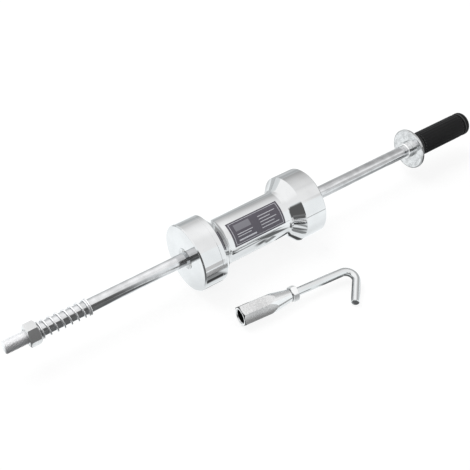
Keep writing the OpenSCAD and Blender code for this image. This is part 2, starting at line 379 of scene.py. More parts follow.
@dataclass(frozen=True)
class Metal(Finish):
    """A bare or plated metal surface with faint marks of machining and handling."""

    colour: tuple[float, float, float]
    roughness: float
    grain: float = 0.0
    grain_scale: tuple[float, float, float] = (1.0, 1.0, 1.0)
    grain_fineness: float = FINE_GRAIN
    speckle: float = 0.4
    wear: float = 0.08
    wear_contrast: float = 2.2
    wear_level: float = 0.4
    blotch_scale: float = 28.0
    smudge: float = 0.04
    turning: float = 0.0
    turning_fineness: float = 520.0
    turning_harshness: float = 0.7

    def inputs(self, tree: Tree, place: bpy.types.NodeSocket) -> dict[str, object]:
        """Grades the colour and roughness, and turns the normal where there are turning marks.

        Args:
            tree: Tree of the material.
            place: Object coordinates.

        Returns:
            Values by the names of the shader's inputs.
        """
        spread = tree.node("ShaderNodeMapping", Vector=place, Scale=self.grain_scale)
        fine = tree.noise(spread.outputs[0], self.grain_fineness, MORE_LAYERS) - NOISE_MEAN
        wide = tree.noise(place, self.blotch_scale, FEW_LAYERS) - NOISE_MEAN
        darker = tuple((1 - self.wear) * part for part in self.colour)
        worn = wide * self.wear_contrast + fine * self.speckle + self.wear_level
        values = {
            "Roughness": self.roughness + fine * self.grain + wide * self.smudge,
            "Base Color": tree.mix(worn.smooth(0.0, 1.0), self.colour, darker),
            "Metallic": 1.0,
        }
        if self.turning:
            values["Normal"] = self._rings(tree, place)
        return values

    def _rings(self, tree: Tree, place: bpy.types.NodeSocket) -> bpy.types.NodeSocket:
        """Gives the normal of faint turning marks round the X axis.

        Args:
            tree: Tree of the material.
            place: Object coordinates.

        Returns:
            The normal.
        """
        along, y, z = tree.parts(place)
        out = tree.node(
            "ShaderNodeVectorMath", {"operation": "LENGTH"}, Vector=tree.vector(0.0, y, z)
        )
        marks = tree.node(
            "ShaderNodeTexNoise", {"noise_dimensions": "1D"},
            W=along + tree.value(out.outputs["Value"]), Scale=self.turning_fineness,
            Detail=MORE_LAYERS, Roughness=self.turning_harshness,
        )
        bump = tree.node(
            "ShaderNodeBump", Strength=1.0, Distance=self.turning, Height=marks.outputs[0]
        )
        return bump.outputs[0]


@dataclass(frozen=True)
class Rubber(Finish):
    """Black moulded rubber with a fine grain and painted highlight lines along given edges."""

    colour: tuple[float, float, float]
    roughness: float
    specular: float = 0.22
    pore_fineness: float = 1400.0
    pore_depth: float = 0.2
    pore_strength: float = 0.25
    dust_scale: float = 60.0
    dust_edge: Edge = (0.35, 0.75)
    dust_gain: float = 1.5
    dust_roughness: float = 0.08
    # Grey, width and places of the painted highlight lines, in millimetres
    edge_highlight: float = 0.075
    edge_highlight_width: float = 0.6
    edge_highlights_at: tuple[float, ...] = ()

    def inputs(self, tree: Tree, place: bpy.types.NodeSocket) -> dict[str, object]:
        """Grades the colour and roughness, paints highlight lines along the given edges and adds
        the pores.

        Args:
            tree: Tree of the material.
            place: Object coordinates.

        Returns:
            Values by the names of the shader's inputs.
        """
        along = tree.parts(place)[0]
        pores = tree.node(
            "ShaderNodeBump", Strength=self.pore_strength, Distance=self.pore_depth * MM,
            Height=tree.noise(place, self.pore_fineness, FEW_LAYERS),
        )
        dust = tree.noise(place, self.dust_scale, MORE_LAYERS).smooth(*self.dust_edge)
        dusty = tuple(self.dust_gain * part for part in self.colour)
        colour, half = tree.mix(dust, self.colour, dusty), self.edge_highlight_width * MM / 2
        # Painted highlight: pale lines of colour along the given edges, standing in for light
        # caught by the rims of rings and grooves
        for edge in self.edge_highlights_at:
            low, high = edge * MM - half, edge * MM + half
            line = along.band((low - half, low), (high, high + half))
            colour = tree.mix(line, colour, (self.edge_highlight,) * 3)
        return {
            "Base Color": colour, "Roughness": self.roughness + dust * self.dust_roughness,
            "Normal": pores.outputs[0], "Specular IOR Level": self.specular,
        }


@dataclass(frozen=True)
class Box:
    """A rectangle of the label's print, in shares of its length and width."""

    left: float
    right: float
    low: float
    high: float

    def inside(self, u: Value, v: Value) -> Value:
        """Gives 1 inside the rectangle and 0 outside it."""
        return (u > self.left) * (u < self.right) * (v > self.low) * (v < self.high)


@dataclass(frozen=True)
class LabelFoil(Finish):
    """Dark printed foil with a plain border, a blank panel and rows of plain bars."""

    middle: float
    length: float
    angle: float
    radius: float
    width: float
    foil: tuple[float, float, float] = (0.055, 0.048, 0.066)
    foil_grain: tuple[float, float, float] = (0.085, 0.076, 0.098)
    panel_grey: tuple[float, float, float] = (0.30, 0.30, 0.33)
    panel_cover: float = 0.55
    ink: tuple[float, float, float] = (0.62, 0.62, 0.66)
    ink_cover: float = 0.8
    roughness: float = 0.3
    grain: float = 0.1
    metallic: float = 0.25
    coat: float = 0.3
    coat_roughness: float = 0.12
    border: tuple[Box, Box] = (Box(0.03, 0.97, 0.06, 0.94), Box(0.04, 0.96, 0.08, 0.92))
    panel: Box = Box(0.10, 0.40, 0.17, 0.44)
    bars: tuple[Box, ...] = (
        Box(0.10, 0.44, 0.78, 0.84), Box(0.10, 0.36, 0.64, 0.67), Box(0.10, 0.40, 0.55, 0.58),
        Box(0.56, 0.90, 0.74, 0.77), Box(0.56, 0.82, 0.62, 0.65), Box(0.56, 0.88, 0.50, 0.53),
        Box(0.56, 0.78, 0.38, 0.41), Box(0.56, 0.90, 0.26, 0.29),
    )

    def inputs(self, tree: Tree, place: bpy.types.NodeSocket) -> dict[str, object]:
        """Prints the foil.

        Args:
            tree: Tree of the material.
            place: Object coordinates.

        Returns:
            Values by the names of the shader's inputs.
        """
        x, y, z = tree.parts(place)
        along = (x - self.middle) / self.length + 0.5
        across = (z.arctan2(y) - self.angle) * (self.radius / self.width) + 0.5
        outer, inner = (box.inside(along, across) for box in self.border)
        ink = outer - inner
        for bar in self.bars:
            ink = ink + bar.inside(along, across)
        fine = tree.noise(place, FINE_GRAIN, FEW_LAYERS)
        panel = self.panel.inside(along, across) * self.panel_cover
        colour = tree.mix(panel, tree.mix(fine, self.foil, self.foil_grain), self.panel_grey)
        return {
            "Base Color": tree.mix(ink.min(1.0) * self.ink_cover, colour, self.ink),
            "Roughness": self.roughness + fine * self.grain, "Metallic": self.metallic,
            "Coat Roughness": self.coat_roughness, "Coat Weight": self.coat,
        }


CHROME = Metal("polished_chrome", (0.62, 0.625, 0.63), 0.045, turning=8e-6)
GROUND = Metal(
    "ground_bar", (0.62, 0.625, 0.635), 0.13, 0.1, (0.06, 1.0, 1.0),
    speckle=1.2, wear=0.2, blotch_scale=90.0,
)
ZINC = Metal("bright_zinc", (0.74, 0.743, 0.745), 0.3, 0.12, speckle=1.0, wear=0.16)
THREAD = Metal("cut_thread", (0.84, 0.84, 0.85), 0.42, 0.1, wear=0.03)
WIRE = Metal("bright_wire", (0.9, 0.9, 0.91), 0.36, 0.05)
SATIN = Metal("satin_bar", (0.6, 0.6, 0.602), 0.27, 0.16, speckle=2.4, wear=0.24)
TAPER = Metal("turned_taper", (0.7, 0.705, 0.71), 0.2, 0.1)
TURNED = Metal(
    "worn_plate", (0.78, 0.785, 0.79), 0.17, 0.14, speckle=1.6, wear=0.3,
    blotch_scale=150.0, turning=1.6e-5,
)
ROD = Metal("bright_plated_rod", (0.62, 0.63, 0.635), 0.1, 0.08)
SINTER = Metal("sintered_bush", (0.5, 0.5, 0.49), 0.35, 0.2)
BLACK_RUBBER = Rubber("black_rubber", (0.0025, 0.0025, 0.0028), 0.55)
SLEEVE = Metal(
    "drawn_sleeve", (0.72, 0.725, 0.73), 0.12, 0.1, (0.1, 1.0, 1.0), speckle=1.0, wear=0.2,
)
# Painted shade: a near-black metal for the coupling's front chamfers and the inside of its socket
PAINTED_SHADE = Metal("painted_shade_metal", (0.09, 0.09, 0.09), 0.3)
# Painted highlight: a pale metal for the sleeve's lip and the coupling's mouth face, standing in
# for bright reflections there
PAINTED_HIGHLIGHT = Metal("painted_highlight_metal", (0.9, 0.9, 0.9), 0.3)


# Place along the axis, distance from it and rounding, in millimetres
Corner = tuple[float, float, float]


@dataclass(frozen=True)
class Stretch:
    """One smooth stretch of an outline, as points and outward normals."""

    points: np.ndarray
    normals: np.ndarray

    def dense(self, step: float) -> "Stretch":
        """Splits a straight stretch into short steps.

        Args:
            step: Longest step in millimetres.

        Returns:
            The stretch with points between its ends.
        """
        run = np.linalg.norm(self.points[-1] - self.points[0])
        if len(self.points) > 2 or run <= step:
            return self
        share = np.linspace(0, 1, math.ceil(run / step) + 1)[:, None]
        first, last = self.points
        return Stretch(first + share * (last - first), np.repeat(self.normals[:1], len(share), 0))


def outline(corners: list[Corner], closed: bool) -> list[Stretch]:
    """Turns corners into straight stretches and arcs, with the solid on the right-hand side.

    Args:
        corners: The corners in order.
        closed: Whether the last corner joins the first.

    Returns:
        The stretches in order.
    """
    count = len(corners)
    place = [np.array(corner[:2], float) for corner in corners]
    ends, starts, arcs = list(place), list(place), [None] * count
    for i in range(count):
        radius = corners[i][2]
        if radius <= 0 or (not closed and i in (0, count - 1)):
            continue
        into, out = place[i] - place[i - 1], place[(i + 1) % count] - place[i]
        into, out = into / np.linalg.norm(into), out / np.linalg.norm(out)
        turn = math.atan2(into[0] * out[1] - into[1] * out[0], into @ out)
        reach = radius * math.tan(abs(turn) / 2)
        ends[i], starts[i] = place[i] - reach * into, place[i] + reach * out
        side = math.copysign(1.0, turn)
        centre = ends[i] + side * radius * np.array([-into[1], into[0]])
        angle = np.linspace(0, turn, max(3, math.ceil(abs(turn) / ARC_STEP)) + 1)
        x, y = ends[i] - centre
        spin = np.stack([
            x * np.cos(angle) - y * np.sin(angle), x * np.sin(angle) + y * np.cos(angle)
        ], 1)
        arcs[i] = Stretch(centre + spin, -side * spin / radius)
    stretches = []
    for i in range(count if closed else count - 1):
        j = (i + 1) % count
        run = ends[j] - starts[i]
        length = np.linalg.norm(run)
        if length > SLIGHT:
            normal = np.array([-run[1], run[0]]) / length
            stretches.append(Stretch(np.array([starts[i], ends[j]]), np.array([normal, normal])))
        if arcs[j] is not None:
            stretches.append(arcs[j])
    return stretches


@dataclass(frozen=True)
class Path:
    """A path along X that may bend towards -Y on an arc and then run on straight."""

    reach: float = math.inf
    radius: float = 1.0
    turn: float = 0.0

    def at(self, along: np.ndarray) -> tuple[np.ndarray, ...]:
        """Gives the path's centre and its forward, side and up directions.

        Args:
            along: Distances along the path.

        Returns:
            Four arrays with one row for each distance.
        """
        angle = np.clip((along - self.reach) / self.radius, 0, self.turn)
        after = np.maximum(along - self.reach - self.radius * self.turn, 0)
        zero = 0 * along
        forward = np.stack([np.cos(angle), -np.sin(angle), zero], 1)
        side = np.stack([np.sin(angle), np.cos(angle), zero], 1)
        centre = np.stack([
            np.minimum(along, self.reach) + self.radius * np.sin(angle),
            -self.radius * (1 - np.cos(angle)), zero,
        ], 1)
        up = np.stack([zero, zero, zero + 1], 1)
        return centre + after[:, None] * forward, forward, side, up


class Face(IntEnum):
    """Faces of a hexagonal bar that may have finishes of their own."""

    FLAT = 0
    REAR_CONE = 1
    MOUTH = 2
    FRONT_CONE = 3
    SOCKET = FRONT_CONE


class Skin:
    """Collects patches of a surface and turns them into one closed mesh with exact normals."""

    def __init__(self) -> None:
        """Starts with no faces."""
        self.index: dict[tuple[int, ...], int] = {}
        self.points: list[tuple[float, ...]] = []
        self.faces: list[list[int]] = []
        self.kind = Face.FLAT
        self.kinds: list[Face] = []
        self.normals: list[tuple[float, ...]] = []

    def _point(self, place: np.ndarray) -> int:
        """Finds or adds a vertex.

        Args:
            place: Position in millimetres.

        Returns:
            Its number.
        """
        key = tuple(int(round(part / WELD)) for part in place)
        if key not in self.index:
            self.index[key] = len(self.points)
            self.points.append(tuple(place))
        return self.index[key]

    def patch(self, points: np.ndarray, normals: np.ndarray) -> None:
        """Adds a grid of faces, turned so that they face along their normals.

        Args:
            points: Positions in millimetres, rows by columns by 3.
            normals: Unit normals of the same shape.
        """
        rows, columns = points.shape[:2]
        number = [[self._point(place) for place in row] for row in points.tolist()]
        for r in range(rows - 1):
            for c in range(columns - 1):
                kept, seen = [], set()
                for corner in ((r, c), (r, c + 1), (r + 1, c + 1), (r + 1, c)):
                    vertex = number[corner[0]][corner[1]]
                    if vertex not in seen:
                        seen.add(vertex)
                        kept.append(corner)
                if len(kept) < 3:
                    continue
                a, b, d = (points[corner] for corner in kept[:3])
                if np.cross(b - a, d - a) @ sum(normals[corner] for corner in kept) < 0:
                    kept.reverse()
                self.faces.append([number[i][j] for i, j in kept])
                self.kinds.append(self.kind)
                self.normals.extend(tuple(normals[corner]) for corner in kept)

    def turned(
        self, stretches: list[Stretch], angles: np.ndarray, path: Path = Path()
    ) -> None:
        """Turns an outline round a path.

        Args:
            stretches: Stretches of the outline, along the path and out from it.
            angles: Steps round the path, from 0 to a full turn.
            path: The path.
        """
        cos, sin = np.cos(angles)[None, :, None], np.sin(angles)[None, :, None]
        for stretch in stretches:
            centre, forward, side, up = path.at(stretch.points[:, 0])
            out = side[:, None] * cos + up[:, None] * sin
            points = centre[:, None] + stretch.points[:, 1][:, None, None] * out
            normals = (
                stretch.normals[:, 0][:, None, None] * forward[:, None]
                + stretch.normals[:, 1][:, None, None] * out
            )
            self.patch(points, normals)

    def mesh(self, name: str, place: Matrix = Matrix.Identity(4)) -> bpy.types.Object:
        """Makes the object.

        Args:
            name: Name of the object.
            place: Where the surface goes, with its shift in metres.

        Returns:
            The object, at the origin, with its place in its mesh.
        """
        data = bpy.data.meshes.new(name)
        turn = place.to_3x3()
        data.from_pydata([tuple(place @ (Vector(p) * MM)) for p in self.points], [], self.faces)
        data.polygons.foreach_set("use_smooth", [True] * len(data.polygons))
        data.normals_split_custom_set([tuple(turn @ Vector(n)) for n in self.normals])
        return show(bpy.data.objects.new(name, data))


def show(made: bpy.types.Object) -> bpy.types.Object:
    """Puts an object in the scene."""
    bpy.context.scene.collection.objects.link(made)
    return made


def full_turn(sides: int) -> np.ndarray:
    """Gives even steps round a full turn, with the last exactly on the first."""
    return np.append(np.linspace(0, TAU, sides, endpoint=False), 0.0)


def lathe(
    name: str, corners: list[Corner], closed: bool = True, sides: int = 128
) -> bpy.types.Object:
    """Makes a turned piece.

    Args:
        name: Name of the object.
        corners: Corners of its outline.
        closed: Whether the outline closes on itself, as on a ring.
        sides: Number of steps round the axis.

    Returns:
        The object.
    """
    skin = Skin()
    skin.turned(outline(corners, closed), full_turn(sides))
    return skin.mesh(name)


def ring(
    name: str, first: float, last: float, inner: float, outer: float,
    rounds: tuple[float, float, float, float],
) -> bpy.types.Object:
    """Makes a plain ring or tube.

    Args:
        name: Name of the object.
        first: Place of its first face along the axis.
        last: Place of its last face.
        inner: Radius of its hole.
        outer: Outer radius.
        rounds: Roundings, from the hole's first edge out and back to its last edge.

    Returns:
        The object.
    """
    places = ((first, inner), (first, outer), (last, outer), (last, inner))
    corners = [(x, r, rounding) for (x, r), rounding in zip(places, rounds)]
    return lathe(name, corners if first < last else corners[::-1])


@dataclass(frozen=True)
class HexBar:
    """A hexagonal bar along X whose two ends are trimmed by cones, with a hole through it."""

    across: float
    length: float
    turn: float
    front_r: float
    rear_r: float
    front_rise: float = CONE_RISE
    rear_rise: float = CONE_RISE
    corner: float = 0.5
    soft: float = 0.22

    def rim(self) -> list[tuple[np.ndarray, np.ndarray]]:
        """Gives the bar's section as points and normals, flat by flat and corner by corner.

        Returns:
            Points and normals of each stretch, in order round the bar.
        """
        inner = self.across / 2 - self.corner
        half = inner * math.tan(math.pi / 6)
        stretches = []
        for k in range(6):
            face = math.radians(30 + self.turn + 60 * k)
            out = np.array([math.cos(face), math.sin(face)])
            aside = np.array([-out[1], out[0]])
            steps = np.linspace(-half, half, FLAT_STEPS + 1)[:, None]
            flat = self.across / 2 * out + steps * aside
            stretches.append((flat, np.repeat(out[None], FLAT_STEPS + 1, 0)))
            bend = face + np.linspace(0, math.pi / 3, CORNER_STEPS + 1)
            arc = np.stack([np.cos(bend), np.sin(bend)], 1)
            stretches.append((inner * out + half * aside + self.corner * arc, arc))
        return stretches

    def fill(self, skin: Skin, bore: list[Corner]) -> None:
        """Adds the bar's faces.

        Args:
            skin: Surface that receives the faces.
            bore: Corners of the hole's outline, from the front face to the rear face.
        """
        for flat, normal in self.rim():
            r = np.linalg.norm(flat, axis=1)
            out = flat / r[:, None]
            side = np.concatenate([0 * r[:, None], normal], 1)
            ends = []
            for face_r, rise, base, sign in (
                (self.front_r, self.front_rise, 0.0, 1.0),
                (self.rear_r, self.rear_rise, self.length, -1.0),
            ):
                slant = np.concatenate([0 * r[:, None] - sign, rise * out], 1)
                slant /= np.linalg.norm(slant, axis=1)[:, None]
                lip = base + sign * ((r - face_r) * rise + self.soft)
                low_r = r - self.soft / math.hypot(1, rise)
                low = base + sign * (low_r - face_r) * rise
                edge = np.concatenate([lip[:, None], flat], 1)
                cone = np.concatenate([low[:, None], low_r[:, None] * out], 1)
                foot = np.concatenate([0 * r[:, None] + base, face_r * out], 1)
                skin.kind = Face.FRONT_CONE if sign > 0 else Face.REAR_CONE
                skin.patch(np.stack([edge, cone]), np.stack([side, slant]))
                skin.patch(np.stack([cone, foot]), np.stack([slant, slant]))
                ends.append(edge)
            skin.kind = Face.FLAT
            skin.patch(np.stack(ends), np.stack([side, side]))
            angles = np.arctan2(out[:, 1], out[:, 0])
            skin.turned(outline(bore, False), angles)


class Formula(Tree):
    """A geometry tree with named sizes that makes one plain mesh."""

    def __init__(self, name: str, sizes: dict[str, float]) -> None:
        """Starts the tree.

        Args:
            name: Name of the tree.
            sizes: Names and values of its inputs; whole numbers make whole-number inputs.
        """
        super().__init__(bpy.data.node_groups.new(name, "GeometryNodeTree"))
        face = self.tree.interface
        face.new_socket("Geometry", in_out="OUTPUT", socket_type="NodeSocketGeometry")
        self.sizes = sizes
        self.keys = {}
        for label, value in sizes.items():
            kind = "NodeSocketInt" if isinstance(value, int) else "NodeSocketFloat"
            made = face.new_socket(label, in_out="INPUT", socket_type=kind)
            self.keys[label] = made.identifier
        self.group = self.node("NodeGroupInput")

    def size(self, label: str) -> Value:
        """Gives one of the named sizes."""
        return self.value(self.group.outputs[label])

    def make(
        self, name: str, geometry: bpy.types.NodeSocket, material: bpy.types.Material
    ) -> bpy.types.Object:
        """Ends the tree and turns its result into a plain mesh.

        Args:
            name: Name of the object.
            geometry: Output that carries the finished shape.
            material: Material of the shape.

        Returns:
            The object, without its modifier.
        """
        smooth = self.node("GeometryNodeSetShadeSmooth", Geometry=geometry)
        real = self.node("GeometryNodeRealizeInstances", Geometry=smooth.outputs[0])
        dressed = self.node(
            "GeometryNodeSetMaterial", Geometry=real.outputs[0], Material=material
        )
        self.node("NodeGroupOutput", Geometry=dressed.outputs[0])
        made = show(bpy.data.objects.new(name, bpy.data.meshes.new(name)))
        modifier = made.modifiers.new("shape", "NODES")
        modifier.node_group = self.tree
        for label, value in self.sizes.items():
            modifier[self.keys[label]] = value
        graph = bpy.context.evaluated_depsgraph_get()
        plain = bpy.data.meshes.new_from_object(made.evaluated_get(graph))
        made.modifiers.clear()
        made.data = plain
        return made

    def sheet(self, rows: Value, columns: Value) -> tuple[bpy.types.NodeSocket, Value, Value]:
        """Adds a flat grid to be bent into shape.

        Args:
            rows: Number of steps along the piece.
            columns: Number of steps round it.

        Returns:
            The grid, its row number, and its share of a turn.
        """
        grid = self.node(
            "GeometryNodeMeshGrid", Size_X=1.0, Size_Y=1.0,
            Vertices_X=rows + 1, Vertices_Y=columns + 1,
        )
        x, y, _ = self.parts(self.node("GeometryNodeInputPosition").outputs[0])
        return grid.outputs["Mesh"], (x + 0.5) * rows, y + 0.5

    def wrap(
        self, grid: bpy.types.NodeSocket, along: Value, radius: Value, share: Value
    ) -> bpy.types.NodeSocket:
        """Bends the grid round the X axis and closes its seam and poles.

        Args:
            grid: The flat grid.
            along: Distance along the axis of each point.
            radius: Distance from the axis of each point.
            share: Share of a turn of each point.

        Returns:
            The closed surface.
        """
        angle = share * TAU
        spot = self.vector(along, radius * angle.cos(), radius * angle.sin())
        bent = self.node("GeometryNodeSetPosition", Geometry=grid, Position=spot)
        welded = self.node(
            "GeometryNodeMergeByDistance", Geometry=bent.outputs[0], Distance=SLIGHT
        )
        return self.node("GeometryNodeFlipFaces", Mesh=welded.outputs[0]).outputs[0]


@dataclass(frozen=True)
class Thread:
    """A right-hand thread along X, chamfered at both ends at least as deep as its groove."""

    name: str
    start: float
    end: float
    diameter: float
    pitch: float
    depth: float
    chamfer: float

    def build(self) -> None:
        """Cuts the thread by rule, as a closed solid, and dresses it."""
        turns = math.ceil((self.end - self.start) / self.pitch) + 1
        formula = Formula(self.name + "_rule", {
            "Start": self.start * MM, "End": self.end * MM, "Radius": self.diameter / 2 * MM,
            "Pitch": self.pitch * MM, "Depth": self.depth * MM, "Chamfer": self.chamfer * MM,
            "Rows": THREAD_STEPS * turns + 2, "Columns": THREAD_SIDES,
        })
        size = formula.size
        first, last, rows = size("Start"), size("End"), size("Rows")
        grid, row, share = formula.sheet(rows, size("Columns"))
        lead = (row - 1) / THREAD_STEPS
        along = (first + size("Pitch") * (lead - 1 + share)).max(first).min(last)
        groove = (1 - (lead * TAU).cos()) * 0.5 * size("Depth")
        tip = size("Radius") - size("Chamfer") + (along - first).min(last - along)
        radius = (size("Radius") - groove).min(tip) * (row > 0.5) * (row < rows - 0.5)
        made = formula.make(self.name, formula.wrap(grid, along, radius, share), THREAD.make())
        dress(made, THREAD, Body.SHAFT, Slot.SHAFT)


def dress(
    piece: bpy.types.Object, finish: Finish, body: Body, slot: Slot, *nodes: str
) -> None:
    """Gives a finished piece its material, its body and its slot.

    Args:
        piece: The piece.
        finish: Its finish.
        body: Body that it rides on.
        slot: Slot of the record that its finish belongs to; not used.
        *nodes: CAD nodes that it stands for.
    """
    piece.data.materials.clear()
    piece.data.materials.append(finish.make())
    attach(piece, body.value)
    if nodes:
        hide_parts(*nodes)
    LOG.info("%s: %d faces on %s", piece.name, len(piece.data.polygons), body.value)


@dataclass(frozen=True)
class Nut:
    """A hexagon nut, chamfered at both faces and both ends of its hole."""

    name: str
    node: str
    across: float
    length: float
    hole: float
    turn: float = 0.0
    lead: float = 0.9

    def build(self, place: Matrix, body: Body) -> None:
        """Builds and dresses the nut.

        Args:
            place: Where the nut goes.
            body: Body that it rides on.
        """
        face = FACE_SHARE * self.across / 2
        skin = Skin()
        HexBar(self.across, self.length, self.turn, face, face).fill(skin, [
            (self.length, face, 0), (self.length, self.hole + self.lead, 0),
            (self.length - self.lead, self.hole, 0), (self.lead, self.hole, 0),
            (0, self.hole + self.lead, 0), (0, face, 0),
        ])
        dress(skin.mesh(self.name, place), ZINC, body, Slot.NUT, self.node)


@dataclass
class ShaftAssembly:
    """The shaft with its front thread, front nut and the fastening of the handle."""

    diameter: float = 15.9
    stub_diameter: float = 15.5
    stub_end: float = 25.5
    thread_end: float = 27.5
    thread_pitch: float = 1.411
    thread_depth: float = 0.8
    tip_chamfer: float = 1.2
    run_end: float = 567.5
    spigot_diameter: float = 13.0
    spigot_end: float = 655.5
    rear_diameter: float = 12.0
    rear_pitch: float = 1.75
    rear_depth: float = 1.0
    rear_end: float = 670.5
    nut_across: float = 23.8
    nut_length: float = 13.5
    nut_turn: float = 53.0
    thread_gap: float = 0.06
    sleeve_end: float = 656.5
    washer_radius: float = 10.35
    washer_thickness: float = 2.5
    end_nut_across: float = 18.0
    end_nut_length: float = 10.0
    edge_round: float = 0.2
    rim_round: float = 0.3

    def build(self) -> None:
        """Builds and dresses every piece of the shaft."""
        self._bar()
        for name, start, end, diameter, pitch, depth in (
            ("front_thread", 0.0, self.thread_end, self.stub_diameter, self.thread_pitch,
             self.thread_depth),
            ("rear_thread", self.spigot_end, self.rear_end, self.rear_diameter,
             self.rear_pitch, self.rear_depth),
        ):
            Thread(name, start, end, diameter, pitch, depth, self.tip_chamfer).build()
        front_hole, rear_hole = (
            r / 2 + self.thread_gap for r in (self.diameter, self.rear_diameter)
        )
        front = Nut(
            "front_nut_hex", "front_nut", self.nut_across, self.nut_length, front_hole,
            self.nut_turn,
        )
        rear = Nut("end_nut_hex", "end_nut", self.end_nut_across, self.end_nut_length, rear_hole)
        washer_end = self.sleeve_end + self.washer_thickness
        for made, at in ((front, self.stub_end), (rear, washer_end)):
            made.build(Matrix.Translation((at * MM, 0, 0)), Body.SHAFT)
        washer = ring(
            "end_washer_ring", self.sleeve_end, washer_end, rear_hole, self.washer_radius,
            (self.edge_round, self.rim_round, self.rim_round, self.edge_round),
        )
        dress(washer, ZINC, Body.SHAFT, Slot.NUT, "end_washer")

    def _bar(self) -> None:
        """Builds the ground bar between the threads."""
        r, small = self.diameter / 2, self.spigot_diameter / 2
        bar = lathe("shaft_bar", [
            (self.thread_end, 0, 0), (self.thread_end, r, self.rim_round),
            (self.run_end, r, self.edge_round), (self.run_end, small, 0),
            (self.spigot_end, small, self.rim_round), (self.spigot_end, 0, 0),
        ], closed=False)
        dress(bar, GROUND, Body.SHAFT, Slot.SHAFT, "shaft")


@dataclass
class BufferSpring:
    """The spring that stops the hammer in front, wound by rule."""

    start: float = 39.0
    length: float = 61.0
    wire: float = 2.0
    coil_radius: float = 9.4
    first_angle: float = 215.0
    closed_front: float = 1.0
    open_turns: float = 6.5
    closed_rear: float = 1.5
    closed_pitch: float = 2.15
    shortest: float = 23.0
    points: int = 433
    sides: int = 16

    def build(self) -> None:
        """Builds and dresses the spring, and gives it a mesh of its own."""
        closed = self.closed_front + self.closed_rear
        pitch = (self.length - self.wire - closed * self.closed_pitch) / self.open_turns
        formula = Formula("spring_rule", {
            "Start": (self.start + self.wire / 2) * MM, "Coil Radius": self.coil_radius * MM,
            "Wire Radius": self.wire / 2 * MM, "First Angle": math.radians(self.first_angle),
            "Closed Front": self.closed_front, "Open Turns": self.open_turns,
            "Closed Rear": self.closed_rear, "Closed Pitch": self.closed_pitch * MM,
            "Open Pitch": pitch * MM, "Points": self.points, "Sides": self.sides,
        })
        size = formula.size
        line = formula.node("GeometryNodeCurvePrimitiveLine").outputs[0]
        points = formula.node("GeometryNodeResampleCurve", Curve=line, Count=size("Points"))
        share = formula.value(formula.node("GeometryNodeSplineParameter").outputs["Factor"])
        turn = share * (size("Closed Front") + size("Open Turns") + size("Closed Rear"))
        opened = (turn - size("Closed Front")).max(0.0).min(size("Open Turns"))
        along = size("Start") + opened * size("Open Pitch") + (turn - opened) * size("Closed Pitch")
        angle, radius = size("First Angle") + turn * TAU, size("Coil Radius")
        spot = formula.vector(along, radius * angle.cos(), radius * angle.sin())
        coil = formula.node("GeometryNodeSetPosition", Geometry=points.outputs[0], Position=spot)
        section = formula.node(
            "GeometryNodeCurvePrimitiveCircle", Resolution=size("Sides"), Radius=size("Wire Radius")
        )
        wire = formula.node(
            "GeometryNodeCurveToMesh", Curve=coil.outputs[0], Profile_Curve=section.outputs[0],
            Fill_Caps=True,
        )
        spring = formula.make("spring_coil", wire.outputs[0], WIRE.make())
        dress(spring, WIRE, Body.SPRING, Slot.SPRING, "buffer_spring")
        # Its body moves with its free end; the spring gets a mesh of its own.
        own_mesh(spring)


